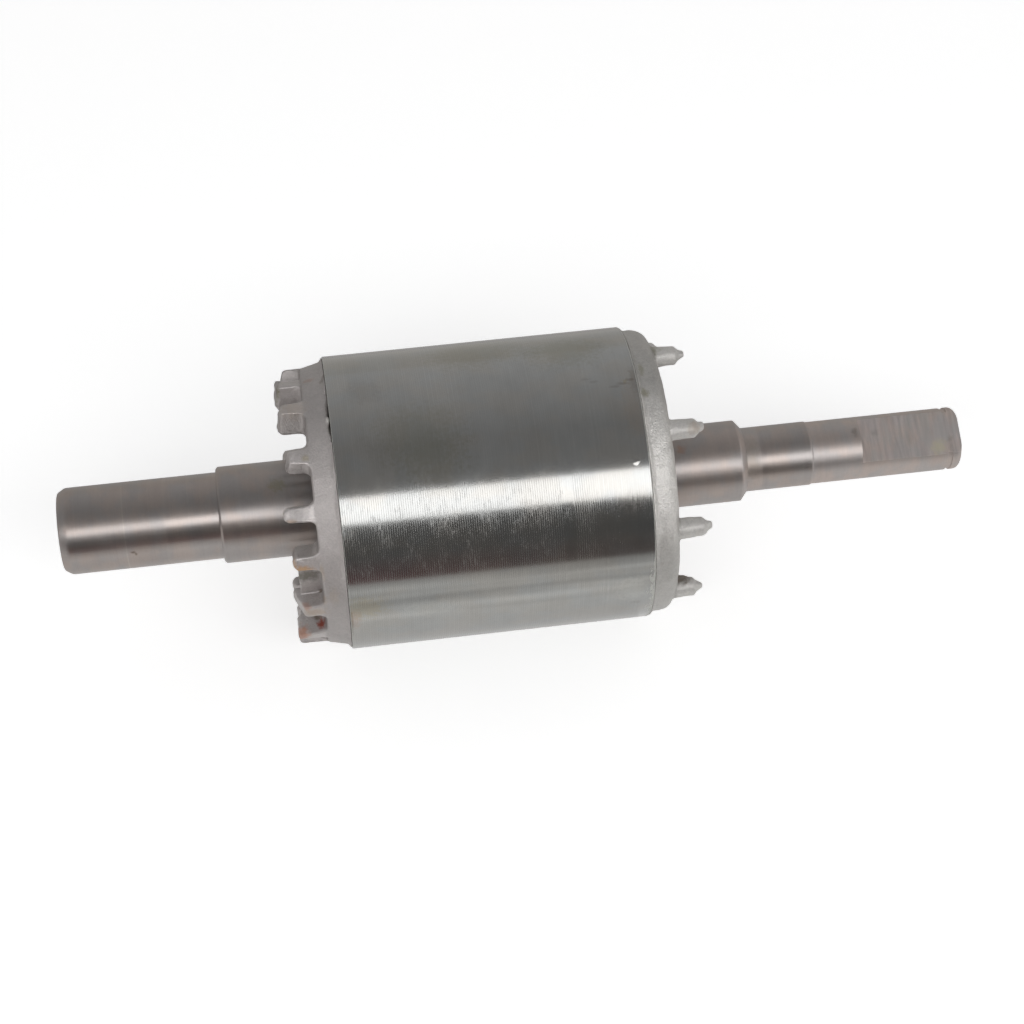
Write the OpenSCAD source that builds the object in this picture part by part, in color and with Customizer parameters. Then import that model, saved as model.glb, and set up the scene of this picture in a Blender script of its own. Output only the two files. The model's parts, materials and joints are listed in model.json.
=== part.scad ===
// Squirrel-cage rotor of a small induction motor: a turned steel shaft, a stack of
// electrical-steel sheets, and an aluminium cage cast through and around the stack.
// The shaft's axis is X, with the flatted end at +X, and Z is up as the rotor lies.
// The origin is on the axis, half a bearing's width out from the collar it runs against.

/* [Pose] */
// Turn of the flat from straight up, towards -Y, as the rotor lies
lie_angle = 22.5; // [0:0.5:90]

/* [Shaft, plain end] */
// Diameter of the plain end, which is the bore of the large bearing
plain_d = 20; // [18:0.5:21.5]
// Length of the plain end that is left outside the bearing
plain_len = 22.5; // [10:0.5:60]
// Length of the lead-in chamfer on the plain end
plain_chamfer_len = 1.8; // [0.5:0.1:4]
// Depth of the lead-in chamfer on the plain end
plain_chamfer_depth = 1.1; // [0.3:0.1:2.5]
// Width of the large bearing, which sits on the plain end against the collar
large_bearing_w = 14; // [10:0.5:18]
// Diameter of the collar that the large bearing runs against, on through the stack
collar_d = 22.4; // [22:0.1:27]
// Length of the collar, from the bearing's face to the stack
collar_len = 27; // [20:0.5:45]
// Chamfer on the collar's edge
collar_chamfer = 0.5; // [0.2:0.1:0.7]

/* [Shaft, flatted end] */
// How far the stack's seat runs on past the stack
core_seat_over = 1.5; // [0.5:0.1:4]
// Diameter of the neck between the stack and the small bearing
neck_d = 19; // [17:0.1:21.5]
// Length of the neck, from the stack to the small bearing's face
neck_len = 26.5; // [18:0.5:45]
// Length of the bevel on the neck's shoulder
neck_bevel_len = 1.4; // [0.5:0.1:4]
// Width of the flat land that the bevel leaves for the small bearing
neck_land = 0.3; // [0.1:0.1:0.8]
// Diameter of the small bearing seat
small_seat_d = 15; // [15:0.1:15.4]
// Length of the small bearing seat
small_seat_len = 15.5; // [8:0.5:25]
// Diameter of the tail
tail_d = 14.6; // [13:0.1:14.9]
// Length of the tail, from the small seat to the end
tail_len = 35.9; // [32:0.1:60]
// Radius of the rounding on the tail's end
tail_round = 1.5; // [0.3:0.1:2]
// Length of the milled flat
flat_len = 24; // [10:0.5:30]
// Depth of the milled flat below the round
flat_depth = 2.2; // [0.5:0.1:4]
// Distance of the retaining groove from the tail's end
groove_from_end = 2.4; // [2.1:0.1:6]
// Width of the retaining groove
groove_w = 1.1; // [0.6:0.1:2]
// Depth of the retaining groove
groove_depth = 0.3; // [0.1:0.05:0.8]

/* [Shaft, centre holes] */
// Mouth diameter of the lathe centre in each end
centre_mouth_d = 5.3; // [4:0.1:7]
// Pilot diameter of the lathe centre
centre_pilot_d = 2.5; // [1.5:0.1:3.5]
// Depth of the pilot below the end face
centre_depth = 5.5; // [4:0.1:9]

/* [Stack] */
// Outer diameter of the stack of sheets
stack_d = 68; // [60:0.5:80]
// Length of the stack
stack_len = 69; // [30:0.5:120]
// Number of slots, which is the number of bars
slot_count = 22; // [12:1:28]
// Thickness of the bridge that closes a slot at the stack's outside
slot_bridge = 2; // [2:0.1:4]
// Radial depth of a slot
slot_depth = 8.5; // [6:0.1:9]
// Width of a slot near the outside
slot_w_out = 4.4; // [2.5:0.1:5]
// Width of a slot at the bottom
slot_w_in = 2; // [1:0.1:3]
// Bevel at the slot's outer corners
slot_bevel = 1; // [0.4:0.1:1.2]
// Turn of a slot from one end of the stack to the other
slot_skew = 12; // [0:0.5:18]

/* [Cage rings] */
// Width of the fan-side ring along the axis
fan_ring_w = 5.4; // [4:0.1:9]
// Width of the pin-side ring along the axis
pin_ring_w = 6.2; // [4.5:0.1:9]
// Step from the stack's outside down to the rings
ring_step = 1; // [0.5:0.1:1]
// Radial depth of the rings
ring_depth = 13; // [11:0.1:14]
// How much the fan-side ring tapers over its width
fan_ring_taper = 1.1; // [0.2:0.1:1.6]
// Corner radius of the fan-side ring
fan_ring_corner = 0.8; // [0.3:0.1:1.5]
// Corner radius of the pin-side ring
pin_ring_corner = 3.3; // [1:0.1:3.8]

/* [Cage fan blades] */
// Number of fan blades
blade_count = 16; // [8:1:20]
// Turn of the first blade from the flat
blade_clock = -4.9; // [-22.5:0.1:22.5]
// Length of a whole blade past the ring
blade_len = 6.8; // [4.5:0.1:12]
// Radial depth of a blade
blade_depth = 6.5; // [3:0.1:10]
// Thickness of a blade at its tip
blade_tip_w = 3; // [1.5:0.1:4]
// Thickness of a blade above its root fillet
blade_root_w = 3.5; // [2:0.1:5]
// Radius of the fillet at a blade's root
blade_fillet = 1.5; // [0.5:0.1:2]
// Radius of the corners at a blade's tip
blade_corner = 0.8; // [0.2:0.1:1.2]
// How far a blade stands in from the edge of the ring's face
blade_inset = 0.15; // [0.05:0.05:0.6]

/* [Cage balance pins] */
// Number of balance pins
pin_count = 8; // [4:1:12]
// Distance of the pins' centres in from the outside of their ring
pin_inset = 4; // [3.8:0.1:8]
// Diameter of a pin at the ring's face
pin_root_d = 5.3; // [3:0.1:6]
// Diameter of a pin at its end
pin_end_d = 4.4; // [2.5:0.1:5]
// Length of a whole pin past the ring, without its nipple
pin_len = 5.8; // [4:0.1:10]
// Bevel round a pin's end
pin_bevel = 0.5; // [0.2:0.1:0.9]
// Diameter of the cast nipple where it leaves the pin
nipple_d = 3; // [1.5:0.1:3.4]
// Diameter of the nipple's broken end
nipple_end_d = 1.1; // [0.4:0.1:1.4]
// Length of the nipple
nipple_len = 1.7; // [0.5:0.1:4]

/* [Casting faults] */
// Middle of the unfilled gap beside the stack, from the flat
gap_clock = -19; // [-180:1:180]
// How far round the ring the gap runs
gap_turn = 20; // [5:1:22]
// Width of the gap along the axis at its middle
gap_w = 1.1; // [0.4:0.1:2]
// Metal left between the gap and the bars
gap_wall = 0.3; // [0.2:0.1:0.6]
// Number of the blade after which a lump of flash fills the space to the next
flash_after = 2; // [0:1:7]
// Distance of the flash from the inner edge of the blades
flash_inset = 0.3; // [0.1:0.1:1]
// Thickness of the flash
flash_w = 1.8; // [0.5:0.1:3]
// Height of the flash above the ring
flash_h = 5; // [1:0.1:6]

/* [Hidden] */
$fn = 96;

// How far a cutter runs past what it cuts
past = 1;
// Angle between the sides of a lathe centre
centre_angle = 60;
// Steps in a rounded corner
arc_steps = 4;
// How much each blade's tip has lost, in turn from the first
tip_loss = [1.3, 0, 0.9, 0, 1.3, 0.2, 0.5, 0, 0.4, 0.1, 0.6, 0.2, 0.3, 1.2, 0.6, 0.4];
// How much more each blade's tip has lost at its outer edge than at its inner one
tip_slant = [0.9, 0, 0, 2.1, -1.2, 0.2, 0, 0.5, 0, 0.3, 0, 0.6, 0.2, 1.5, 0.7, 1];
// How much each blade has lost off its outer edge
edge_loss = [0.1, 0.2, 0, 0.2, 0, 0.2, 0, 0.3, 0, 0.1, 0.2, 0, 0.1, 0, 1.2, 0];
// How far each blade is bent out of its even place round the ring
blade_bend = [1.2, 2.2, 0, 2.5, 0, 0.5, -0.6, 0, 0.8, -0.5, 0, 0.6, 0, 0, 0, 0];
// How much each pin is short of its whole length, in turn from the flat
pin_loss = [0, 0, 0.9, 3.2, 0.2, 0, 2.1, 0.6];

// Stations along the axis
collar_x = large_bearing_w / 2;
left_x = collar_x - large_bearing_w - plain_len;
stack_x = collar_x + collar_len;
stack_end_x = stack_x + stack_len;
core_seat_x = stack_end_x + core_seat_over;
neck_end_x = stack_end_x + neck_len;
tail_x = neck_end_x + small_seat_len;
right_x = tail_x + tail_len;
groove_x = right_x - groove_from_end;

// Radii of the slots and rings
slot_r_out = stack_d / 2 - slot_bridge;
slot_r_in = slot_r_out - slot_depth;
ring_r = stack_d / 2 - ring_step;
ring_r_in = ring_r - ring_depth;
pin_circle_r = ring_r - pin_inset;
gap_r = slot_r_out + gap_wall;
// Half of the gap's length, and the radius of its rounded side
gap_half = ring_r * sin(gap_turn / 2);
gap_round = (gap_half * gap_half + gap_w * gap_w) / (2 * gap_w);

// Bars lean by this much to give the skew over the stack
slot_r_mid = (slot_r_out + slot_r_in) / 2;
slot_lean = atan(2 * slot_r_mid * tan(slot_skew / 2) / stack_len);
// Bars run this far into the rings
bar_into_ring = 1;

// Outer radius of the fan-side ring at its face
fan_r = ring_r - fan_ring_taper;
// Outer radius of the blades
blade_r = fan_r - blade_inset;
// Inner radius of the blades
blade_r_in = blade_r - blade_depth;
// How far the foot of a blade's fillet goes into the ring
foot_sink = 0.05;
// A nipple is never wider than the end of its pin
nipple_r = min(nipple_d / 2, pin_end_d / 2 - pin_bevel);
// The collar's chamfer leaves at least half of the shoulder for the bearing
collar_bevel = min(collar_chamfer, (collar_d - plain_d) / 4);

// Points of an arc from one angle to another about a centre
function arc(centre, radius, from, to) = [
    for (i = [0 : arc_steps])
        let (a = from + (to - from) * i / arc_steps)
            centre + radius * [cos(a), sin(a)]
];

// Lays a shape made along Z, with the flat at +X, down along the X axis
module laid() {
    rotate([0, 90, 0])
        rotate([0, 0, 180 + lie_angle])
            children();
}

// One of several copies turned about the shaft
module turned(count, clock = 0) {
    for (k = [0 : count - 1]) {
        $copy = k;
        rotate([0, 0, clock + 360 * k / count])
            children();
    }
}

// A copy's own value from a list, which starts again when it runs out
function own(list) = list[$copy % len(list)];

// A lathe centre, going down from the origin
module centre_hole() {
    cone_len = (centre_mouth_d - centre_pilot_d) / 2 / tan(centre_angle / 2);
    translate([0, 0, -cone_len])
        cylinder(h = cone_len, d1 = centre_pilot_d, d2 = centre_mouth_d);
    translate([0, 0, -centre_depth])
        cylinder(h = centre_depth, d = centre_pilot_d);
}

// The turned outline of the shaft, as radius and station
module shaft_outline() {
    core_step = (collar_d - neck_d) / 2;
    tail_step = (small_seat_d - tail_d) / 2;
    polygon(concat(
        [
            [0, left_x],
            [plain_d / 2 - plain_chamfer_depth, left_x],
            [plain_d / 2, left_x + plain_chamfer_len],
            [plain_d / 2, collar_x],
            [collar_d / 2 - collar_bevel, collar_x],
            [collar_d / 2, collar_x + collar_bevel],
            [collar_d / 2, core_seat_x],
            [neck_d / 2, core_seat_x + core_step],
            [neck_d / 2, neck_end_x - neck_bevel_len],
            [small_seat_d / 2 + neck_land, neck_end_x],
            [small_seat_d / 2, neck_end_x],
            [small_seat_d / 2, tail_x],
            [tail_d / 2, tail_x + tail_step],
            [tail_d / 2, groove_x - groove_w],
            [tail_d / 2 - groove_depth, groove_x - groove_w],
            [tail_d / 2 - groove_depth, groove_x],
            [tail_d / 2, groove_x]
        ],
        arc([tail_d / 2 - tail_round, right_x - tail_round], tail_round, 0, 90),
        [[0, right_x]]
    ));
}

module shaft() {
    color([0.55, 0.52, 0.50])
        laid()
            difference() {
                rotate_extrude()
                    shaft_outline();
                translate([tail_d / 2 - flat_depth, -tail_d, right_x - flat_len])
                    cube([tail_d, 2 * tail_d, flat_len + past]);
                translate([0, 0, right_x])
                    centre_hole();
                translate([0, 0, left_x])
                    mirror([0, 0, 1])
                        centre_hole();
            }
}

// One leaning bar of the cage, reaching the given distance past each end of the stack
module bar(reach) {
    translate([0, 0, stack_x + stack_len / 2])
        rotate([slot_lean, 0, 0])
            linear_extrude(height = (stack_len + 2 * reach) / cos(slot_lean), center = true)
                polygon([
                    [slot_r_in, -slot_w_in / 2],
                    [slot_r_out - slot_bevel, -slot_w_out / 2],
                    [slot_r_out, -slot_w_out / 2 + slot_bevel],
                    [slot_r_out, slot_w_out / 2 - slot_bevel],
                    [slot_r_out - slot_bevel, slot_w_out / 2],
                    [slot_r_in, slot_w_in / 2]
                ]);
}

module lamination_stack() {
    color([0.45, 0.46, 0.46])
        laid()
            difference() {
                translate([0, 0, stack_x])
                    cylinder(h = stack_len, d = stack_d);
                translate([0, 0, stack_x - past])
                    cylinder(h = stack_len + 2 * past, d = collar_d);
                turned(slot_count)
                    bar(reach = fan_ring_w);
            }
}

// The fan-side ring, rising from the stack's face
module fan_ring() {
    rotate_extrude()
        polygon(concat(
            [[ring_r_in, 0], [ring_r, 0]],
            arc([fan_r - fan_ring_corner, fan_ring_w - fan_ring_corner], fan_ring_corner, 0, 90),
            [[ring_r_in, fan_ring_w]]
        ));
}

// Outline of a blade in a plane through the axis, from inside the ring to its broken tip
module blade_outline(loss, slant, edge) {
    tip = fan_ring_w + blade_len - loss;
    outside = blade_r - edge;
    polygon(concat(
        [[blade_r_in, fan_ring_w / 2], [outside, fan_ring_w / 2]],
        arc([outside - blade_corner, tip - slant - blade_corner], blade_corner, 0, 90),
        arc([blade_r_in + blade_corner, tip - blade_corner], blade_corner, 90, 180)
    ));
}

// Section of a blade across its depth, with fillets where it leaves the ring
module blade_section(loss) {
    tip = fan_ring_w + blade_len - loss;
    foot = blade_root_w / 2 + blade_fillet;
    fillet_z = fan_ring_w + blade_fillet - foot_sink;
    polygon(concat(
        [[-foot, fan_ring_w / 2], [foot, fan_ring_w / 2]],
        arc([foot, fillet_z], blade_fillet, 270, 180),
        [[blade_tip_w / 2, tip - blade_corner], [blade_tip_w / 2 - blade_corner, tip]],
        [[-blade_tip_w / 2 + blade_corner, tip], [-blade_tip_w / 2, tip - blade_corner]],
        arc([-foot, fillet_z], blade_fillet, 0, -90)
    ));
}

// One blade, which is as long as the longer of its edges
module blade(loss, slant, edge) {
    share = 360 / blade_count;
    intersection() {
        rotate([0, 0, -share / 2])
            rotate_extrude(angle = share)
                blade_outline(loss, slant, edge);
        rotate([90, 0, 90])
            linear_extrude(height = ring_r)
                blade_section(loss + min(0, slant));
    }
}

// The ring of blades, rising from the stack's face
module fan() {
    turned(blade_count, blade_clock)
        rotate([0, 0, own(blade_bend)])
            blade(own(tip_loss), own(tip_slant), own(edge_loss));
}

// The lump of flash between two blades, rising from inside the ring
module flash() {
    share = 360 / blade_count;
    rotate([0, 0, blade_clock + flash_after * share])
        rotate_extrude(angle = share)
            translate([blade_r_in + flash_inset, fan_ring_w / 3])
                square([flash_w, fan_ring_w * 2 / 3 + flash_h]);
}

// The pin-side ring, rising from the stack's face
module pin_ring() {
    rotate_extrude()
        polygon(concat(
            [[ring_r_in, 0], [ring_r, 0]],
            arc([ring_r - pin_ring_corner, pin_ring_w - pin_ring_corner], pin_ring_corner, 0, 90),
            [[ring_r_in, pin_ring_w]]
        ));
}

// One balance pin with the nipple left by the die, rising from inside the ring
module pin(loss) {
    end = pin_ring_w + pin_len - loss;
    rotate_extrude()
        polygon([
            [0, pin_ring_w / 4],
            [pin_root_d / 2, pin_ring_w / 4],
            [pin_end_d / 2, end - pin_bevel],
            [pin_end_d / 2 - pin_bevel, end],
            [nipple_r, end],
            [nipple_end_d / 2, end + nipple_len],
            [0, end + nipple_len]
        ]);
}

// The gap that the casting left beside the stack, rising from the stack's face
module casting_gap() {
    rotate([0, 0, gap_clock])
        translate([gap_r, 0, gap_w - gap_round])
            rotate([0, 90, 0])
                cylinder(h = ring_r - gap_r + past, r = gap_round);
}

module rotor_cage() {
    color([0.68, 0.66, 0.65])
        laid()
            union() {
                turned(slot_count)
                    bar(reach = bar_into_ring);
                translate([0, 0, stack_x])
                    mirror([0, 0, 1]) {
                        difference() {
                            fan_ring();
                            casting_gap();
                        }
                        fan();
                        flash();
                    }
                translate([0, 0, stack_end_x]) {
                    pin_ring();
                    turned(pin_count)
                        translate([pin_circle_r, 0, 0])
                            pin(own(pin_loss));
                }
            }
}

shaft();
lamination_stack();
rotor_cage();
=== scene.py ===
import json
import math
from functools import reduce

import bmesh
import bpy
import numpy as np
from mathutils import Matrix, Vector, noise


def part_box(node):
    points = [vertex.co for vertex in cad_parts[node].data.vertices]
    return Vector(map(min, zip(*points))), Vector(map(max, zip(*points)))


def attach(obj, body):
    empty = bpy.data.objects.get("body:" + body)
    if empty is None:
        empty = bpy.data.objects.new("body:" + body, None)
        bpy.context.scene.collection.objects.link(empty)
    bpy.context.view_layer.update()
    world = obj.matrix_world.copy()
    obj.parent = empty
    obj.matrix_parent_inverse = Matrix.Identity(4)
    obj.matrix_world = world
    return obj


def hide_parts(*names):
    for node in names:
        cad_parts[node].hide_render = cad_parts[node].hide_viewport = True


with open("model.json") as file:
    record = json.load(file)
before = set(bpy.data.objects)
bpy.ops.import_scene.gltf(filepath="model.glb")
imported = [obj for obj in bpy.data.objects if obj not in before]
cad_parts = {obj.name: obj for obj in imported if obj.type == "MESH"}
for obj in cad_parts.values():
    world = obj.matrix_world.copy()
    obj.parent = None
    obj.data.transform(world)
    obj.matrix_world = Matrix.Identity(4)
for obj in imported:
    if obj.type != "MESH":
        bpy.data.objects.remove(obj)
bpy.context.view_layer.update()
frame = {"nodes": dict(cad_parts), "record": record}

MM = 0.001
MOUNTS = {mount["name"]: mount for mount in frame["record"]["mounts"]}


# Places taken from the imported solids

def outer_radius(node):
    """How far a solid's vertices reach from the axis."""
    return max(math.hypot(v.co.y, v.co.z) for v in frame["nodes"][node].data.vertices)


STACK_X0, STACK_X1 = [corner.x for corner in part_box("lamination_stack")]
STACK_R = outer_radius("lamination_stack")
LEFT_X, RIGHT_X = [corner.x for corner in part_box("shaft")]
CAGE_X0, CAGE_X1 = [corner.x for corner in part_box("rotor_cage")]
RING_R = outer_radius("rotor_cage")
GROUND_Z = -STACK_R
LARGE_SEAT_R = MOUNTS["large_bearing_seat"]["dims"]["r_mm"] * MM
SMALL_SEAT = MOUNTS["small_bearing_seat"]
SMALL_SEAT_R = SMALL_SEAT["dims"]["r_mm"] * MM
SMALL_SEAT_X = SMALL_SEAT["pos_m"][0]
SMALL_SEAT_HALF = SMALL_SEAT["dims"]["length_mm"] * MM / 2
FLAT_NORMAL = Vector(MOUNTS["tail_flat"]["axis"])
FLAT_U = Vector(MOUNTS["tail_flat"]["pos_m"]).dot(FLAT_NORMAL)
FLAT_TURN = math.atan2(-FLAT_NORMAL.y, FLAT_NORMAL.z)
FLAT_SIDE = Vector((0, -math.cos(FLAT_TURN), -math.sin(FLAT_TURN)))

# Sizes of the shaft that the mounts don't give
PLAIN_CHAMFER_LEN = 1.8 * MM
PLAIN_CHAMFER_DEPTH = 1.1 * MM
BEARING_HALF = 7 * MM
COLLAR_R = 11.2 * MM
COLLAR_CHAMFER = 0.5 * MM
SEAT_OVER = 1.5 * MM
NECK_R = 9.5 * MM
NECK_BEVEL = 1.4 * MM
NECK_LAND = 0.3 * MM
TAIL_R = 7.3 * MM
TAIL_ROUND = 1.5 * MM
FLAT_LEN = 24 * MM
GROOVE_FROM_END = 2.4 * MM
GROOVE_W = 1.1 * MM
GROOVE_DEPTH = 0.3 * MM
CENTRE_MOUTH_R = 2.65 * MM
CENTRE_PILOT_R = 1.25 * MM
CENTRE_DEPTH = 5.5 * MM
CENTRE_HALF_ANGLE = math.radians(30)

# Sizes of the casting
FAN_RING_W = 5.4 * MM
PIN_RING_W = 6.2 * MM
PIN_FACE_X = STACK_X1 + PIN_RING_W
FAN_FACE_X = STACK_X0 - FAN_RING_W
GAP_TURN = math.radians(3.5)

# Stations of the shaft
COLLAR_X = BEARING_HALF
CORE_SEAT_X = STACK_X1 + SEAT_OVER
NECK_END_X = SMALL_SEAT_X - SMALL_SEAT_HALF
TAIL_X = SMALL_SEAT_X + SMALL_SEAT_HALF
FLAT_X = RIGHT_X - FLAT_LEN
GROOVE_X = RIGHT_X - GROOVE_FROM_END

# Sheets of the stack
SHEET_W = 0.5 * MM
SHEET_COUNT = round((STACK_X1 - STACK_X0) / SHEET_W)


def round_point(x, radius, turn):
    """A point at a station and radius, turned from straight up towards -Y."""
    return Vector((x, -radius * math.sin(turn), radius * math.cos(turn)))


# Meshes

# Points closer together than this are one point
WELD = 0.001 * MM
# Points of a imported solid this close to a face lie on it
NEAR = 0.01 * MM
# Edges sharper than these angles, in degrees, stay sharp
SHAFT_SHARP, STACK_SHARP, CAST_SHARP = 24, 12, 60


def new_object(name, data):
    """A new object in the scene."""
    made = bpy.data.objects.new(name, data)
    bpy.context.scene.collection.objects.link(made)
    return made


def new_piece(name, mesh, material, node):
    """Puts a mesh into the scene in place of a solid."""
    piece = new_object(name, mesh)
    mesh.materials.clear()
    mesh.materials.append(material)
    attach(piece, "root")
    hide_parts(node)


def smooth_shade(mesh, sharp_degrees):
    """Smooth shading that keeps edges sharper than the given angle."""
    mesh.polygons.foreach_set("use_smooth", [True] * len(mesh.polygons))
    mesh.set_sharp_from_angle(angle=math.radians(sharp_degrees))
    return mesh


def welded(mesh):
    """The mesh, ready for changes, with points that fall together joined, so that no face is folded."""
    build = bmesh.new()
    build.from_mesh(mesh)
    bmesh.ops.remove_doubles(build, verts=build.verts, dist=WELD)
    return build


def built(name, build):
    """A mesh of what has been built."""
    mesh = bpy.data.meshes.new(name)
    build.to_mesh(mesh)
    build.free()
    return mesh


# A corner's curve has this many steps, and takes up at most this share of the sides beside it
EASE_STEPS = 4
EASE_SHARE = 0.4


def eased(points, reach_of):
    """The outline with its inner corners eased by a curve, as wide as each place asks for."""
    out = [points[0]]
    for before, corner, after in zip(points, points[1:], points[2:]):
        back, ahead = before - corner, after - corner
        reach = min(reach_of(corner), EASE_SHARE * back.length, EASE_SHARE * ahead.length)
        start = corner + back.normalized() * reach
        end = corner + ahead.normalized() * reach
        for i in range(EASE_STEPS + 1):
            t = i / EASE_STEPS
            out.append(start * (1 - t) ** 2 + corner * 2 * t * (1 - t) + end * t ** 2)
    out.append(points[-1])
    return out


def resampled(points, step_of):
    """The outline with long stretches divided, by a step for each station."""
    out = [points[0]]
    for a, b in zip(points, points[1:]):
        count = max(1, math.ceil((b - a).length / step_of((a.x + b.x) / 2)))
        out += [a.lerp(b, (i + 1) / count) for i in range(count)]
    return out


SHAFT_EASE = 0.12 * MM
CROWN_EASE = 0.5 * MM
SHAFT_STEP = 0.9 * MM
HIDDEN_STEP = 8 * MM
SHAFT_TURNS = 132
# Degrees from the flat's middle between which its edges lie, and the step of the lines there
EDGE_FROM, EDGE_TO, EDGE_STEP = 33, 47.5, 0.75
# Degrees at which the tail's round corner has its points
ROUND_TURNS = range(0, 91, 10)


def shaft_ease(corner):
    """How far a corner is eased: the plain end is crowned, and the rest only loses its edge."""
    at_plain_end = corner.x < LEFT_X + PLAIN_CHAMFER_LEN + SHAFT_EASE
    outside = corner.y > CENTRE_MOUTH_R + SHAFT_EASE
    return CROWN_EASE if at_plain_end and outside else SHAFT_EASE


def shaft_step(x):
    """How long a stretch of the shaft's outline may be: longer where the stack hides it."""
    return HIDDEN_STEP if STACK_X0 < x < STACK_X1 else SHAFT_STEP


def tail_round():
    """Station and radius round the tail's end corner."""
    turns = [math.radians(a) for a in ROUND_TURNS]
    x, radius = RIGHT_X - TAIL_ROUND, TAIL_R - TAIL_ROUND
    return [(x + TAIL_ROUND * math.sin(a), radius + TAIL_ROUND * math.cos(a)) for a in turns]


def shaft_profile():
    """Station and radius along the shaft, from the bottom of one lathe centre to the other."""
    cone = (CENTRE_MOUTH_R - CENTRE_PILOT_R) / math.tan(CENTRE_HALF_ANGLE)
    core_step = COLLAR_R - NECK_R
    seat_step = SMALL_SEAT_R - TAIL_R
    points = [
        (LEFT_X + CENTRE_DEPTH, 0),
        (LEFT_X + CENTRE_DEPTH, CENTRE_PILOT_R),
        (LEFT_X + cone, CENTRE_PILOT_R),
        (LEFT_X, CENTRE_MOUTH_R),
        (LEFT_X, LARGE_SEAT_R - PLAIN_CHAMFER_DEPTH),
        (LEFT_X + PLAIN_CHAMFER_LEN, LARGE_SEAT_R),
        (COLLAR_X, LARGE_SEAT_R),
        (COLLAR_X, COLLAR_R - COLLAR_CHAMFER),
        (COLLAR_X + COLLAR_CHAMFER, COLLAR_R),
        (CORE_SEAT_X, COLLAR_R),
        (CORE_SEAT_X + core_step, NECK_R),
        (NECK_END_X - NECK_BEVEL, NECK_R),
        (NECK_END_X, SMALL_SEAT_R + NECK_LAND),
        (NECK_END_X, SMALL_SEAT_R),
        (TAIL_X, SMALL_SEAT_R),
        (TAIL_X + seat_step, TAIL_R),
        (GROOVE_X - GROOVE_W, TAIL_R),
        (GROOVE_X - GROOVE_W, TAIL_R - GROOVE_DEPTH),
        (GROOVE_X, TAIL_R - GROOVE_DEPTH),
        (GROOVE_X, TAIL_R),
        *tail_round(),
        (RIGHT_X, CENTRE_MOUTH_R),
        (RIGHT_X - cone, CENTRE_PILOT_R),
        (RIGHT_X - CENTRE_DEPTH, CENTRE_PILOT_R),
        (RIGHT_X - CENTRE_DEPTH, 0),
    ]
    return resampled(eased([Vector(p) for p in points], shaft_ease), shaft_step)


def shaft_turns():
    """Angles from the flat at which the shaft has its lines, closer at the flat's edges."""
    even = np.linspace(-180, 180, SHAFT_TURNS, endpoint=False)
    edge = np.arange(EDGE_FROM, EDGE_TO, EDGE_STEP)
    even = even[(np.abs(even) < EDGE_FROM) | (np.abs(even) > EDGE_TO)]
    return np.radians(np.sort(np.concatenate([even, edge, -edge])))


def shaft_rings(profile, turns):
    """Rings of points along the profile, cut down to the flat near the tail's end."""
    rings = []
    cut = False
    for x, radius in profile:
        if radius == 0:
            continue
        across = radius * np.cos(turns)
        along = radius * np.sin(turns)
        outside = radius > CENTRE_MOUTH_R + SHAFT_EASE
        if x >= FLAT_X and outside:
            if not cut:
                rings.append((FLAT_X, across, along))
                rings.append((FLAT_X, np.minimum(across, FLAT_U), along))
                cut = True
            across = np.minimum(across, FLAT_U)
        rings.append((x, across, along))
    return rings


def shaft_mesh():
    """Rings of points joined by faces, and closed at the bottom of both lathe centres."""
    profile = shaft_profile()
    turns = shaft_turns()
    points, faces = [], []
    count = len(turns)
    rings = shaft_rings(profile, turns)
    for x, across, along in rings:
        for u, v in zip(across, along):
            points.append(Vector((x, 0, 0)) + FLAT_NORMAL * u + FLAT_SIDE * v)
    for i in range(0, (len(rings) - 1) * count, count):
        for j in range(count):
            k = (j + 1) % count
            faces.append((i + j, i + k, i + count + k, i + count + j))
    for x, ring, order in ((profile[0].x, 0, -1), (profile[-1].x, len(rings) - 1, 1)):
        centre = len(points)
        points.append(Vector((x, 0, 0)))
        for j in range(count):
            faces.append((ring * count + j, ring * count + (j + 1) % count, centre)[::order])
    mesh = bpy.data.meshes.new("shaft_rings")
    mesh.from_pydata(points, [], faces)
    return smooth_shade(built("turned_shaft", welded(mesh)), SHAFT_SHARP)


# The stack keeps its bore, its slots and its end faces, and gets a round of sheet edges

GROOVE_HALF = 0.028 * MM
GROOVE_LEFT, GROOVE_RIGHT = 0.011 * MM, 0.007 * MM
SHEET_SCATTER = 0.004 * MM
EDGE_ROUND = 0.1 * MM
LEAST_GROOVE = 0.75
SHEET_SEED = 3
# Stations between which turning has smeared the sheets over, and what is left of the grooves there
SMEARED = ((82.9 * MM, 85.4 * MM), (92.4 * MM, STACK_X1))
SMEARED_SHARE = 0.15


def groove_depth(x, chance):
    """Depth of the line between two sheets, which gets less to the right."""
    share = (x - STACK_X0) / (STACK_X1 - STACK_X0)
    depth = GROOVE_LEFT + (GROOVE_RIGHT - GROOVE_LEFT) * share
    if any(low < x < high for low, high in SMEARED):
        depth *= SMEARED_SHARE
    return depth * chance.uniform(LEAST_GROOVE, 1)


def sheet_rings(chance):
    """Station and radius of the lines round the stack: a sheet is a land between two grooves."""
    lines = []
    for i in range(SHEET_COUNT):
        x = STACK_X0 + i * SHEET_W
        land = STACK_R - chance.uniform(0, SHEET_SCATTER)
        if i > 0:
            lines.append((x, STACK_R - groove_depth(x, chance)))
        first = EDGE_ROUND if i == 0 else GROOVE_HALF
        last = EDGE_ROUND if i == SHEET_COUNT - 1 else GROOVE_HALF
        lines.append((x + first, land))
        lines.append((x + SHEET_W - last, land))
    return lines


def on_outside(vertex):
    """True for a point on the stack's round."""
    return math.hypot(vertex.co.y, vertex.co.z) > STACK_R - NEAR


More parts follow.
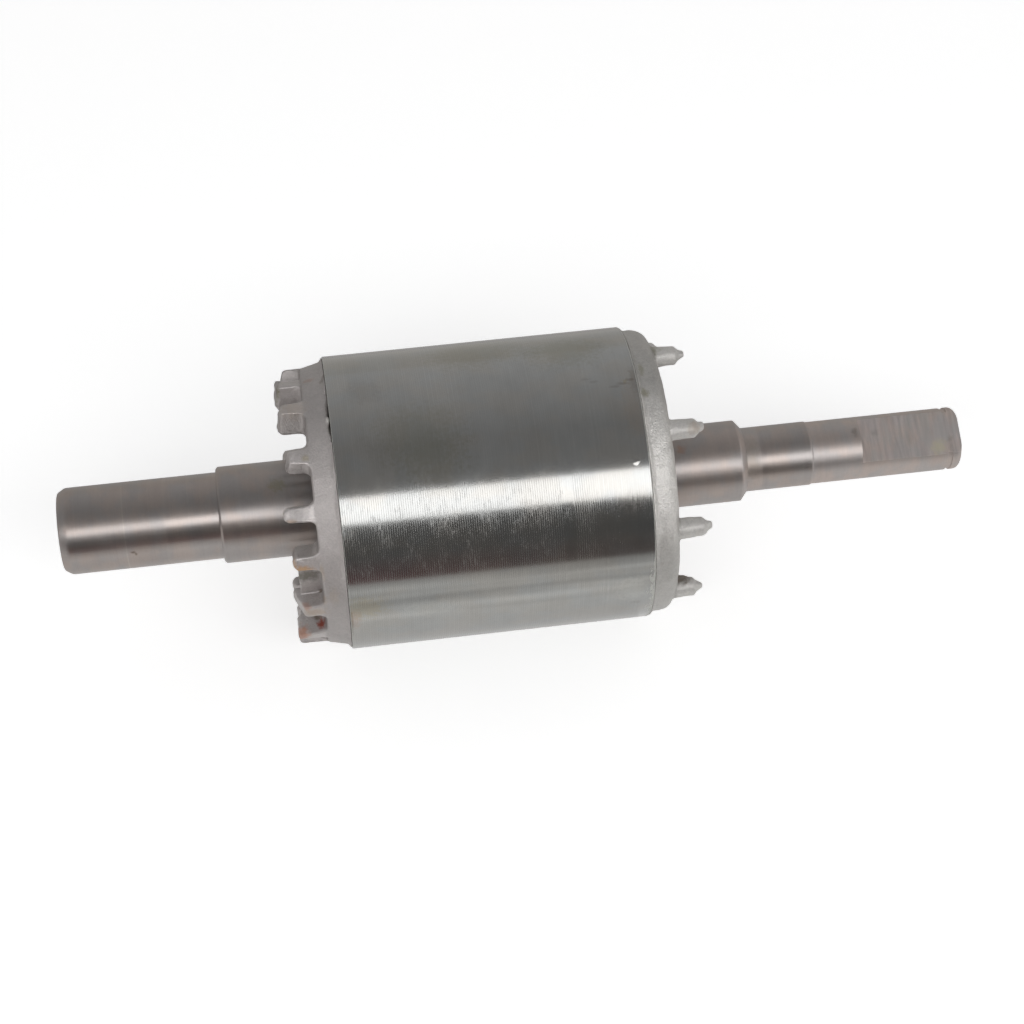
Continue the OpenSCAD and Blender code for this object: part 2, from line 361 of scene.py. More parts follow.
def stack_rim(build, end):
    """Points of the stack's round at one end, in their order round the axis."""
    rim = [v for v in build.verts if on_outside(v) and abs(v.co.x - end) < NEAR]
    return sorted(rim, key=lambda v: math.atan2(v.co.y, v.co.z))


def stack_mesh():
    """The stack with a round of sheet edges in place of its plain one."""
    chance = np.random.default_rng(SHEET_SEED)
    build = welded(frame["nodes"]["lamination_stack"].data)
    outer = [f for f in build.faces if all(on_outside(v) for v in f.verts)]
    bmesh.ops.delete(build, geom=outer, context="FACES")
    left, right = stack_rim(build, STACK_X0), stack_rim(build, STACK_X1)
    rings = [left]
    for x, radius in sheet_rings(chance):
        scale = radius / STACK_R
        rings.append([build.verts.new((x, v.co.y * scale, v.co.z * scale)) for v in left])
    rings.append(right)
    for v in left + right:
        v.co.y *= (STACK_R - EDGE_ROUND) / STACK_R
        v.co.z *= (STACK_R - EDGE_ROUND) / STACK_R
    for a, b in zip(rings, rings[1:]):
        for j in range(len(a)):
            k = (j + 1) % len(a)
            build.faces.new((a[j], b[j], b[k], a[k]))
    bmesh.ops.recalc_face_normals(build, faces=build.faces)
    return smooth_shade(built("sheet_stack", build), STACK_SHARP)


# The casting is the solid's own form with soft edges, a cast skin and broken tips

VOXEL = 0.26 * MM
CAST_SOFTENING = {"factor": 0.5, "iterations": 4}
CAST_SHARE = 0.35
CUT_IN = 0.3 * MM
SKIN_COARSE, SKIN_COARSE_SIZE = 0.13 * MM, 3.6 * MM
SKIN_FINE, SKIN_FINE_SIZE = 0.05 * MM, 1.1 * MM
TIP_BREAK, TIP_BREAK_SIZE = 0.36 * MM, 2 * MM
TIP_BREAK_SHIFT = Vector((7, 0, 0))
BLADE_ZONE = 2.6 * MM
NIPPLE_ZONE = 2 * MM
# Flash in the corners beside the stack: its parts, its depth in the ring and its outer radius
BEAD_STEPS = 200
BEAD_SINK = 0.4 * MM
BEAD_TOP_R = STACK_R + 0.15 * MM
# Size of its waves, and their share in its height and reach
BEAD_WAVE = 4 * MM
BEAD_HEIGHT_WAVE, BEAD_REACH_WAVE = 0.3, 0.6
# Where it starts, how far it goes round, its reach and its height
FAN_BEAD = (math.radians(15), math.radians(336), -0.9 * MM, 1.1 * MM)
PIN_BEAD = (0, math.radians(359.9), 1.3 * MM, 1.15 * MM)
# Parts that a lump's round is made of
LUMP_TURNS, LUMP_RINGS = 20, 12
# Lumps of metal: station, radius and turn, then half sizes along the axis, across it and outwards
FAN_LUMPS = (
    (33.6, 32.75, 5.2, (0.42, 1.15, 0.4)),
    (33.15, 32.4, 0, (0.45, 1.8, 0.45)),
    (33.35, 32.4, 8.8, (0.4, 1.4, 0.45)),
    (33.5, 33.1, 71, (0.6, 0.9, 0.35)),
)
PIN_LUMPS = (
    (109.4, 26.6, 111.5, (1.5, 1.5, 1.0)),
    (110.8, 27.1, 111.5, (2.0, 1.3, 0.9)),
    (103.4, 33.2, 125.6, (0.6, 1.1, 0.35)),
    (114.0, 29.4, -20.9, (0.9, 1.0, 0.9)),
    (115.7, 29.2, -23.6, (0.6, 0.7, 0.7)),
    (114.7, 29.4, 24.2, (0.8, 1.0, 0.9)),
    (116.1, 29.2, 21.2, (0.6, 0.65, 0.65)),
    (114.8, 29.4, 69.2, (0.8, 1.0, 0.9)),
    (116.1, 29.2, 66.4, (0.5, 0.65, 0.65)),
)


def cage_slice(low, high):
    """A closed piece of the cage between two stations."""
    build = welded(frame["nodes"]["rotor_cage"].data)
    for station, outward in ((low, -1), (high, 1)):
        bmesh.ops.bisect_plane(
            build,
            geom=build.verts[:] + build.edges[:] + build.faces[:],
            plane_co=(station, 0, 0),
            plane_no=(outward, 0, 0),
            clear_outer=True,
        )
    rim = [e for e in build.edges if e.is_boundary]
    bmesh.ops.holes_fill(build, edges=rim, sides=0)
    bmesh.ops.recalc_face_normals(build, faces=build.faces)
    return build


def add_bead(build, station, start, turn, reach, height):
    """Adds a wedge of flash to the corner between a ring and the stack."""
    rings = []
    for i in range(BEAD_STEPS + 1):
        angle = start + turn * i / BEAD_STEPS
        wave = noise.noise(round_point(station, RING_R, angle) / BEAD_WAVE)
        top = min(RING_R + height * (1 + BEAD_HEIGHT_WAVE * wave), BEAD_TOP_R)
        foot = station + reach * (1 + BEAD_REACH_WAVE * wave)
        corners = (
            round_point(station, RING_R - BEAD_SINK, angle),
            round_point(station, top, angle),
            round_point(foot, RING_R - BEAD_SINK, angle),
        )
        rings.append([build.verts.new(c) for c in corners])
    for a, b in zip(rings, rings[1:]):
        for j in range(3):
            k = (j + 1) % 3
            build.faces.new((a[j], a[k], b[k], b[j]))
    build.faces.new(rings[0])
    build.faces.new(rings[-1][::-1])


def add_lump(build, x, radius, turn, sizes):
    """Adds a rounded lump of metal, given in millimetres and degrees."""
    angle = math.radians(turn)
    place = Matrix.Translation(round_point(x * MM, radius * MM, angle))
    along, across, outwards = (v * MM for v in sizes)
    shape = place @ Matrix.Rotation(angle, 4, "X") @ Matrix.Diagonal((along, across, outwards, 1))
    bmesh.ops.create_uvsphere(build, u_segments=LUMP_TURNS, v_segments=LUMP_RINGS, radius=1, matrix=shape)


def through(mesh, *steps):
    """The mesh after a row of modifiers, each given as a kind and its settings."""
    carrier = new_object("carrier", mesh)
    for kind, settings in steps:
        step = carrier.modifiers.new(kind, kind)
        for key, value in settings.items():
            setattr(step, key, value)
    graph = bpy.context.evaluated_depsgraph_get()
    made = bpy.data.meshes.new_from_object(carrier.evaluated_get(graph))
    bpy.data.objects.remove(carrier)
    return made


def ease(value):
    """Goes smoothly from 0 to 1 as the value does."""
    value = min(max(value, 0), 1)
    return value * value * (3 - 2 * value)


def cast_skin(mesh):
    """Moves each point in or out a little, and more at the broken tips."""
    moved = []
    for v in mesh.vertices:
        p = v.co
        push = SKIN_COARSE * noise.noise(p / SKIN_COARSE_SIZE)
        push += SKIN_FINE * noise.noise(p / SKIN_FINE_SIZE)
        blade_tip = ease((CAGE_X0 + BLADE_ZONE - p.x) / BLADE_ZONE)
        nipple = ease((p.x - CAGE_X1) / NIPPLE_ZONE + 1)
        push += max(blade_tip, nipple) * TIP_BREAK * noise.noise(p / TIP_BREAK_SIZE + TIP_BREAK_SHIFT)
        moved.append(p + v.normal * push)
    for v, p in zip(mesh.vertices, moved):
        v.co = p


def cast_end(low, high, station, bead, lumps):
    """One end of the casting, with its flash, soft corners and uneven skin."""
    build = cage_slice(low, high)
    add_bead(build, station, *bead)
    for lump in lumps:
        add_lump(build, *lump)
    grid = ("REMESH", {"mode": "VOXEL", "voxel_size": VOXEL})
    skin = through(built("cast_end", build), grid, ("SMOOTH", CAST_SOFTENING))
    cast_skin(skin)
    return through(skin, ("DECIMATE", {"ratio": CAST_SHARE}))


def cage_mesh():
    """The whole casting: its bars as they are packed, and both ends with their skin."""
    left, right = STACK_X0 + CUT_IN, STACK_X1 - CUT_IN
    build = cage_slice(left, right)
    build.from_mesh(cast_end(CAGE_X0 - MM, left, STACK_X0, FAN_BEAD, FAN_LUMPS))
    build.from_mesh(cast_end(right, CAGE_X1 + MM, STACK_X1, PIN_BEAD, PIN_LUMPS))
    return smooth_shade(built("cast_cage", build), CAST_SHARP)


# Materials

# Sockets of a mix node, for numbers and for colours: the factor, both sides and the result
MIX_NUMBERS = (0, 2, 3, 0)
MIX_COLOURS = (0, 6, 7, 2)
EVEN = (1, 1, 1)


class Tree:
    """A tree of shader nodes, built step by step."""

    def __init__(self, tree):
        self.tree = tree

    def add(self, kind, inputs=(), **settings):
        node = self.tree.nodes.new(kind)
        for key, value in settings.items():
            setattr(node, key, value)
        for key, value in dict(inputs).items():
            self.feed(node.inputs[key], value)
        return node

    def feed(self, socket, value):
        if isinstance(value, bpy.types.NodeSocket):
            self.tree.links.new(value, socket)
        else:
            socket.default_value = value

    def math(self, operation, *values):
        return self.add("ShaderNodeMath", dict(enumerate(values)), operation=operation).outputs[0]

    def total(self, *values):
        return reduce(lambda a, b: self.math("ADD", a, b), values)

    def times(self, *values):
        return reduce(lambda a, b: self.math("MULTIPLY", a, b), values)

    def weighted(self, start, *parts):
        """A start and some values, each with its weight, added up."""
        return self.total(start, *[self.times(value, weight) for value, weight in parts])

    def gain(self, mask, change, start=1.0):
        """A start that changes by a given number where the mask is 1."""
        return self.math("MULTIPLY_ADD", mask, change, start)

    def centred(self, cloud):
        """A cloud round 0 instead of 0.5."""
        return self.math("SUBTRACT", cloud, 0.5)

    def rest(self, mask):
        """1 where the mask is 0, and 0 where it is 1."""
        return self.math("SUBTRACT", 1.0, mask)

    def fade(self, value, low, high, to_low=0.0, to_high=1.0):
        """Goes smoothly from one value to another between two limits."""
        inputs = {"Value": value, "From Min": low, "From Max": high, "To Min": to_low, "To Max": to_high}
        return self.add("ShaderNodeMapRange", inputs, interpolation_type="SMOOTHSTEP").outputs["Result"]

    def ramp(self, place, axis, low, high):
        """Goes evenly from 0 to 1 between two places along an axis."""
        along = self.add("ShaderNodeSeparateXYZ", {"Vector": place}).outputs[axis]
        inputs = {"Value": along, "From Min": low, "From Max": high}
        return self.add("ShaderNodeMapRange", inputs).outputs["Result"]

    def blend(self, node, sockets, *values):
        """Feeds a mix node's factor and both sides, and gives its result."""
        for socket, value in zip(sockets, values):
            self.feed(node.inputs[socket], value)
        return node.outputs[sockets[-1]]

    def mix(self, factor, a, b, mode="MIX"):
        """A colour between two colours."""
        node = self.add("ShaderNodeMix", data_type="RGBA", blend_type=mode)
        a, b = (v if isinstance(v, bpy.types.NodeSocket) else (*v, 1.0) for v in (a, b))
        return self.blend(node, MIX_COLOURS, factor, a, b)

    def lerp(self, factor, a, b):
        """A number between two numbers."""
        return self.blend(self.add("ShaderNodeMix", data_type="FLOAT"), MIX_NUMBERS, factor, a, b)

    def shade(self, colour, amount):
        """The colour made lighter or darker by a number."""
        grey = self.add("ShaderNodeCombineColor", dict.fromkeys(("Red", "Green", "Blue"), amount)).outputs[0]
        return self.mix(1.0, colour, grey, "MULTIPLY")


# The edges of spots are ragged by clouds of this size in millimetres, detail, stretch and shift
RAG = (0.9, 4, EVEN, 11)
STEP_FADE = 0.3 * MM


class Shader(Tree):
    """A node material, built round its main shader."""

    def __init__(self, name):
        self.material = bpy.data.materials.new(name)
        self.material.use_nodes = True
        super().__init__(self.material.node_tree)
        self.surface = self.tree.nodes["Principled BSDF"]
        self.place = self.add("ShaderNodeTexCoord").outputs["Object"]
        parts = self.add("ShaderNodeSeparateXYZ", {"Vector": self.place}).outputs
        self.x = parts["X"]
        self.radius = self.math("SQRT", self.total(*[self.times(parts[axis], parts[axis]) for axis in "YZ"]))
        self.rag = None

    def set(self, **values):
        """Sets sockets of the main shader, with _ for a space in their names."""
        for key, value in values.items():
            self.feed(self.surface.inputs[key.replace("_", " ")], value)

    def between(self, low, high, soft=STEP_FADE):
        """1 between two stations along the shaft, and 0 outside."""
        up = self.fade(self.x, low - soft, low + soft)
        down = self.fade(self.x, high - soft, high + soft, 1.0, 0.0)
        return self.math("MULTIPLY", up, down)

    def noise(self, size, detail, stretch, shift, roughness=0.5):
        """Clouds from 0 to 1 with features of about a size in millimetres, drawn out by a stretch."""
        scale = Vector(1 / (size * MM * s) for s in stretch)
        inputs = {"Vector": self.place, "Scale": scale, "Location": (shift, shift, shift)}
        place = self.add("ShaderNodeMapping", inputs).outputs[0]
        inputs = {"Vector": place, "Scale": 1.0, "Detail": detail, "Roughness": roughness}
        return self.add("ShaderNodeTexNoise", inputs).outputs["Fac"]

    def spot(self, centre, size, soft=0.8, stretch=EVEN, ragged=1.2):
        """1 near a point and 0 away from it, with a ragged edge."""
        off = self.add("ShaderNodeVectorMath", {0: self.place, 1: centre}, operation="SUBTRACT").outputs[0]
        scale = Vector(1 / (size * s) for s in stretch)
        scaled = self.add("ShaderNodeVectorMath", {0: off, 1: scale}, operation="MULTIPLY").outputs[0]
        far = self.add("ShaderNodeVectorMath", {0: scaled}, operation="LENGTH").outputs["Value"]
        if self.rag is None:
            self.rag = self.centred(self.noise(*RAG))
        return self.fade(self.gain(self.rag, ragged, far), 1 - soft, 1, 1.0, 0.0)

    def marked(self, colour, stains):
        """The colour with stains and some painted shade, highlights and reflections on it, and how much of
        the surface they hide.
        """
        hidden = 0.0
        for x, radius, turn, size, stretch, tint, strength in stains:
            centre = round_point(x * MM, radius * MM, math.radians(turn))
            mask = self.times(self.spot(centre, size * MM, stretch=stretch), strength)
            colour = self.mix(mask, colour, tint)
            hidden = self.math("MAXIMUM", mask, hidden)
        return colour, hidden

    def bump(self, height, distance, strength=1.0):
        """Normals of a surface with small heights on it."""
        inputs = {"Height": height, "Distance": distance, "Strength": strength}
        return self.add("ShaderNodeBump", inputs).outputs["Normal"]


QUARTER_TURN = 0.25


def along_axis(s):
    """Highlights of a turned surface spread along the axis, across its turning lines."""
    tangent = s.add("ShaderNodeTangent", direction_type="RADIAL", axis="X").outputs[0]
    s.set(Tangent=tangent, Anisotropic_Rotation=QUARTER_TURN)


SHAFT_COOL, SHAFT_WARM = (0.338, 0.314, 0.306), (0.374, 0.325, 0.302)
CORE_COOL, CORE_WARM = (0.358, 0.36, 0.354), (0.368, 0.36, 0.344)
FAN_COLOUR = (0.572, 0.536, 0.524)
PIN_COLOUR = (0.742, 0.721, 0.694)
# Painted highlight on the lump of flash in the gap
PAINTED_GLINT = (0.72, 0.70, 0.66)
# Painted shade: a near black for the gap beside the stack and the corner under the rings
RECESS_SHADE = (0.07, 0.062, 0.054)
# Painted shade in the pocket between two blades
POCKET_SHADE = (0.13, 0.12, 0.09)
END_STEEL = (0.20, 0.19, 0.18)
GREY = (0.27, 0.255, 0.25)
RUST = (0.36, 0.14, 0.045)
DARK_RUST = (0.22, 0.03, 0.008)
ORANGE = (0.52, 0.28, 0.11)
SALMON = (0.46, 0.24, 0.165)
TAN = (0.44, 0.35, 0.27)
BROWN = (0.10, 0.065, 0.038)
OLIVE = (0.20, 0.185, 0.10)
YELLOW = (0.36, 0.30, 0.17)
STRAW = (0.58, 0.53, 0.37)
PALE = (0.52, 0.52, 0.49)

# Finish along the shaft: station where a stretch starts, its roughness and its lightness
ROUGH_COLUMN, LIGHT_COLUMN = 1, 2
FINISH_FADE = 0.2 * MM
STEP_SOFT = 0.25 * MM
SHAFT_FINISH = (
    (LEFT_X, 0.42, 1.04),
    (LEFT_X + 2.2 * MM, 0.35, 1.0),
    (-5.3 * MM, 0.30, 1.02),
    (BEARING_HALF, 0.34, 1.0),
    (CORE_SEAT_X, 0.41, 1.1),
    # Painted light: the neck's bevel is made lighter to stand in for a highlight it doesn't catch
    (NECK_END_X - NECK_BEVEL - NECK_LAND, 0.56, 1.42),
    (NECK_END_X, 0.44, 1.22),
    (NECK_END_X + 3.5 * MM, 0.38, 1.1),
    # Painted light: the seat's step is made lighter to stand in for a highlight it doesn't catch
    (TAIL_X - STEP_SOFT, 0.52, 1.42),
    (TAIL_X + STEP_SOFT, 0.48, 1.38),
)
FLAT_ROUGH, FLAT_LIGHT = 0.62, 1.58
FLAT_WARM, FLAT_COOL = (0.52, 0.45, 0.44), (0.49, 0.49, 0.48)
FLAT_WARM_SHARE, FLAT_COOL_SHARE = 0.3, 0.45
# Distances from the axis between which the flat's finish starts and is whole
FLAT_SPAN = (FLAT_U - 0.1 * MM, FLAT_U - 0.02 * MM)
# A fine turned line near the plain end: its station, half width and lightness
LINE_X, LINE_W, LINE_LIGHT = -14.6 * MM, 0.12 * MM, 0.12

# Clouds on the shaft: size in millimetres, detail, stretch and shift
SHAFT_LINES = (0.14, 1, (1, 200, 200), 0)
SHAFT_BANDS = (1.6, 2, (1, 60, 60), 3)
SHAFT_CLOUD = (6, 3, (1.2, 1, 1), 5)
SHAFT_GRAIN = (0.5, 3, (1, 1.5, 1.5), 8)
SHAFT_TONE = (5, 3, (1, 1.4, 1.4), 21)
FLAT_MILLING = (0.9, 3, (1, 9, 9), 7)
FLAT_STREAKS = (2.2, 2, (1, 4, 4), 13)
# Between which values of its cloud a tone changes
SHAFT_TONE_SPAN, FLAT_WARM_SPAN, FLAT_COOL_SPAN = (0.38, 0.62), (0.4, 0.6), (0.45, 0.62)
# Lightness of the shaft, what lines, bands, cloud and grain add, and what milling adds on the flat
SHAFT_LIGHT = 0.71
SHAFT_LIGHT_ADDS = (0.12, 0.14, 0.22, 0.1)
MILLING_LIGHT = 1.2
# What cloud and bands add to the shaft's roughness, and what stains add to it and to its metal
SHAFT_ROUGH_ADDS = (0.1, 0.06)
SHAFT_STAIN_ROUGH, SHAFT_STAIN_METAL = 0.15, -0.6
SHAFT_ANISOTROPY = 0.35
LINES_RELIEF, MILLING_RELIEF, SHAFT_BUMP = 0.0012, 0.02, 0.6

# Stains, with some rows of painted shade, highlight and reflection: station, radius, turn, size, stretch,
# colour and strength
SHAFT_STAINS = (
    (20.8, 11.2, 9.8, 2.4, (1.3, 1, 1), OLIVE, 0.45),
    (114.1, 9.5, 15.7, 1.7, EVEN, RUST, 0.3),
    (130.6, 7.5, 40, 2.6, (1, 3, 3), OLIVE, 0.16),
    (155.6, 7.3, 8.7, 1.4, (0.8, 1.2, 1.2), BROWN, 0.36),
    (-13.2, 10, 78, 0.7, (1.2, 0.7, 0.7), BROWN, 0.6),
    (-12.6, 10, 81.5, 0.6, (0.7, 1.2, 1.2), BROWN, 0.55),
    (175.4, 6.2, 56, 2.6, EVEN, STRAW, 0.55),
    (178.4, 5.6, 40, 1.2, EVEN, OLIVE, 0.2),
    (161, 5.4, 4, 1.4, EVEN, BROWN, 0.14),
)
CORE_STAINS_AND_PAINTED_LIGHT = (
    (53, 34, 18, 12, (1.2, 1, 1), OLIVE, 0.2),
    (56, 34, 26, 8, (1.3, 1, 1), OLIVE, 0.14),
    (41.8, 34, -5.7, 5, (1.3, 1, 1), BROWN, 0.1),
    (88.7, 34, -19.5, 9, (1.4, 1, 1), OLIVE, 0.26),
    (67.5, 34, -26, 10, (1.5, 1, 1), OLIVE, 0.22),
    (101, 34, 14, 6, (0.55, 1.8, 1.8), TAN, 0.24),
    (37, 34, 84, 5, (1.5, 1, 1), YELLOW, 0.32),
    (35, 34, 90, 2.4, (0.8, 2, 2), RUST, 0.16),
    (34.2, 34, 93, 3, (0.2, 2.2, 2.2), BROWN, 0.4),
    # Painted reflection: the next two rows lighten bands low on the stack's front, where it mirrors the
    # floor
    (98, 34, 90, 6, (0.9, 1, 1), PALE, 0.3),
    (52, 34, 88, 5, (1.6, 0.8, 0.8), PALE, 0.2),
    (91.6, 34, -0.3, 1.6, (1, 0.35, 0.35), BROWN, 0.14),
    (93.2, 34, 1.3, 1.6, (1, 0.35, 0.35), BROWN, 0.14),
    (97.8, 34, 4.6, 1.6, (1, 0.35, 0.35), BROWN, 0.2),
    (99.6, 34, 3.4, 1.7, (1, 0.35, 0.35), BROWN, 0.26),
    (101.4, 34, 1.9, 1.7, (1, 0.35, 0.35), BROWN, 0.28),
    (100.2, 34, 2.5, 0.7, EVEN, YELLOW, 0.35),
    (98.9, 34, 99.5, 1.8, (1, 0.6, 0.6), BROWN, 0.14),
    (102.4, 34, 2, 3.6, (0.5, 1.6, 1.6), BROWN, 0.25),
)
CAST_STAINS_AND_PAINTED_LIGHT = (
    (27.5, 29.6, 104, 1.7, (0.8, 1.1, 1.1), DARK_RUST, 0.95),
    (26.6, 28, 104, 1.3, EVEN, BROWN, 0.75),
    (22.8, 31.4, 105.5, 2.7, (1, 1.1, 1.1), SALMON, 0.85),
    (24.5, 31.7, 65, 2.6, (1.3, 0.6, 0.6), ORANGE, 0.75),
    (22.9, 31.6, 62, 1.4, (0.6, 1.4, 1.4), ORANGE, 0.5),
    # Painted shade in the pocket between two blades
    (25.4, 27.4, 73, 2.8, (1.5, 0.8, 0.8), POCKET_SHADE, 0.75),
    (28.1, 27.5, 83, 0.9, EVEN, BROWN, 0.8),
    (28.6, 31.1, 81, 1.8, (0.6, 1.2, 1.2), TAN, 0.6),
    (26.1, 31.5, 88, 3, (1.4, 0.6, 0.6), TAN, 0.65),
    (24.5, 31.1, 84.6, 1.8, EVEN, SALMON, 0.5),
    (22.7, 29.6, -25, 3.4, (0.35, 1, 1), OLIVE, 0.8),
    (22.6, 31, -48, 2.4, (0.5, 1, 1), YELLOW, 0.6),
    (22.9, 29.4, -29, 2.2, (0.5, 1.2, 1.2), BROWN, 0.55),
    (28.8, 31.7, 67, 2.4, (0.35, 1.2, 1.2), TAN, 0.5),
    (26.1, 31.7, -4.3, 3.6, (1.2, 1, 1), TAN, 0.35),
    (30.2, 32.1, -22, 1.8, (1.2, 0.7, 0.7), RUST, 0.25),
    (33.6, 33, -18, 2, (0.6, 1.2, 1.2), BROWN, 0.5),
    # Painted shade: the next row is a dark slit in the gap beside the stack
    (33.95, 33, 3.5, 1, (0.4, 6.8, 1), RECESS_SHADE, 0.8),
    # Painted highlight: the next row lights the lump of flash in the gap
    (33.55, 33.1, 5.2, 0.9, (0.7, 1.4, 1), PAINTED_GLINT, 0.9),
    (27.7, 31.6, 19.6, 1.2, EVEN, YELLOW, 0.5),
    (23.4, 31.5, 44.6, 1.5, (1.2, 0.5, 0.5), ORANGE, 0.45),
    (30.8, 32.2, 79, 2.4, (0.7, 1.5, 1.5), TAN, 0.3),
    (24.6, 31.5, 42.4, 3.4, (1.1, 0.9, 0.9), GREY, 0.5),
    (108.9, 30.5, -22, 2.4, EVEN, OLIVE, 0.5),
    (104.6, 33, -4, 2, (0.5, 1.4, 1.4), OLIVE, 0.45),
    (104.1, 33, 7.7, 1.7, EVEN, OLIVE, 0.6),
    (114.2, 30.6, 23.4, 2.2, EVEN, TAN, 0.5),
    # Painted shade: the next row darkens the side of the lump behind a low pin to brown
    (110.9, 27.4, 108.4, 2.4, (1.2, 1, 1), BROWN, 0.75),
)


def stepped(s, column):
    """A value of the shaft's finish, changing from stretch to stretch."""
    value = SHAFT_FINISH[0][column]
    for before, after in zip(SHAFT_FINISH, SHAFT_FINISH[1:]):
        step = s.fade(s.x, after[0] - FINISH_FADE, after[0] + FINISH_FADE)
        value = s.gain(step, after[column] - before[column], value)
    return value


def facing(s, way, low, high):
    """1 where the surface looks a given way from the axis, down to 0 where it looks aside."""
    ahead = s.add("ShaderNodeVectorMath", {0: s.place, 1: way}, operation="DOT_PRODUCT")
    return s.fade(ahead.outputs["Value"], low, high)


def on_flat(s):
    """1 on the milled flat and 0 elsewhere."""
    level = facing(s, FLAT_NORMAL, *FLAT_SPAN)
    return s.times(level, s.math("GREATER_THAN", s.x, FLAT_X - NEAR))


def shaft_colour(s, flat, level, milling, cloud):
    """The shaft's steel, lighter on the flat, with warm and cool tones."""
    milled = s.gain(milling, MILLING_LIGHT, FLAT_LIGHT - MILLING_LIGHT / 2)
    light = s.lerp(flat, stepped(s, LIGHT_COLUMN), milled)
    scratch = s.between(LINE_X - LINE_W, LINE_X + LINE_W, LINE_W / 2)
    steel = s.mix(s.fade(s.noise(*SHAFT_TONE), *SHAFT_TONE_SPAN), SHAFT_COOL, SHAFT_WARM)
    colour = s.shade(steel, s.times(level, light, s.gain(scratch, LINE_LIGHT)))
    warm = s.times(flat, s.fade(cloud, *FLAT_WARM_SPAN), FLAT_WARM_SHARE)
    cool = s.times(flat, s.fade(s.noise(*FLAT_STREAKS), *FLAT_COOL_SPAN), FLAT_COOL_SHARE)
    return s.mix(cool, s.mix(warm, colour, FLAT_WARM), FLAT_COOL)


def shaft_steel():
    """Turned steel with fine lines, a milled flat and a few stains."""
    s = Shader("shaft_steel")
    shades = [s.noise(*kind) for kind in (SHAFT_LINES, SHAFT_BANDS, SHAFT_CLOUD, SHAFT_GRAIN)]
    lines, bands, cloud, _ = shades
    milling = s.noise(*FLAT_MILLING)
    flat = on_flat(s)
    level = s.weighted(SHAFT_LIGHT, *zip(shades, SHAFT_LIGHT_ADDS))
    colour, marks = s.marked(shaft_colour(s, flat, level, milling, cloud), SHAFT_STAINS)
    uneven = zip((s.centred(cloud), s.centred(bands)), SHAFT_ROUGH_ADDS)
    finish = s.weighted(stepped(s, ROUGH_COLUMN), *uneven)
    rough = s.weighted(s.lerp(flat, finish, FLAT_ROUGH), (marks, SHAFT_STAIN_ROUGH))
    s.set(Base_Color=colour, Metallic=s.gain(marks, SHAFT_STAIN_METAL), Roughness=rough)
    s.set(Anisotropic=SHAFT_ANISOTROPY)
    relief = s.total(s.times(lines, LINES_RELIEF), s.times(flat, milling, MILLING_RELIEF))
    s.set(Normal=s.bump(relief, MM, SHAFT_BUMP))
    along_axis(s)
    return s.material


# Stations between which the cast metal over the stack's ends stops
SMEAR_LEFT = (STACK_X0 + 0.03 * MM, STACK_X0 + 0.16 * MM)
SMEAR_RIGHT = (STACK_X1 - 0.3 * MM, STACK_X1 - 0.08 * MM)
# Way that the last sheets look where metal has run over them, and its reach
SMEAR_WAY = round_point(0, 1, math.radians(104))
SMEAR_WAY_SPAN = (0.86 * STACK_R, 0.95 * STACK_R)
SMEAR_REACH = 1.6 * MM
SMEAR_EDGE, SMEAR_EDGE_SPAN = (0.7, 3, (1, 2.5, 2.5), 27), (0.4, 0.65)


def end_smear(s):
    """1 where cast metal has run over the stack: on its end faces, and low down on the last sheets."""
    left = s.fade(s.x, *SMEAR_LEFT, 1.0, 0.0)
    below = facing(s, SMEAR_WAY, *SMEAR_WAY_SPAN)
    ragged = s.fade(s.noise(*SMEAR_EDGE), *SMEAR_EDGE_SPAN)
    spread = s.gain(s.times(below, ragged), SMEAR_REACH, s.x)
    right = s.fade(spread, *SMEAR_RIGHT)
    return s.math("MAXIMUM", left, right)


# Joints between sheets: half width as a share of a sheet, and what is left at the right
JOINT_SPAN = (0.06, 0.19)
JOINT_FADE = 6 * MM
JOINT_RIGHT = 0.25
JOINT_SMEARED = -0.8


def sheet_lines(s):
    """1 at the joints between sheets and 0 between them, fading where turning has smeared them over."""
    sheets = s.times(s.math("SUBTRACT", s.x, STACK_X0), 1 / SHEET_W)
    line = s.fade(s.math("PINGPONG", sheets, 0.5), *JOINT_SPAN, 1.0, 0.0)
    smeared, at_right = SMEARED
    clear = s.fade(s.x, at_right[0] - JOINT_FADE, at_right[0], 1.0, JOINT_RIGHT)
    return s.times(line, clear, s.gain(s.between(*smeared), JOINT_SMEARED))


# Clouds on the stack: size in millimetres, detail, stretch and shift
CORE_SHEETS = (0.5, 0, (1, 500, 500), 6)
CORE_CLOUD = (9, 4, (1, 1.6, 1.6), 2)
CORE_PATCHES = (4, 4, (0.8, 1.2, 1.2), 12)
CORE_GRAIN = (0.24, 2, (1, 1.6, 1.6), 10)
CORE_SCRATCHES = (0.3, 3, (1, 6, 6), 9)
CORE_TONE, CORE_TONE_SPAN = (7, 3, (1.3, 1, 1), 23), (0.4, 0.6)
# Lightness of the stack, what sheets, cloud, patches and grain add, and what joints take away
CORE_LIGHT = 0.76
CORE_LIGHT_ADDS = (0.08, 0.22, 0.12, 0.06)
BETWEEN_JOINTS, JOINT_LIGHT = 1.02, -0.04
# End faces: how far out bare sheet goes, its lightness, and the corner under the rings
END_SHEET_R = 25 * MM
END_LIGHT, END_PATCHES = 0.7, 0.6
END_CORNER = 0.3 * MM
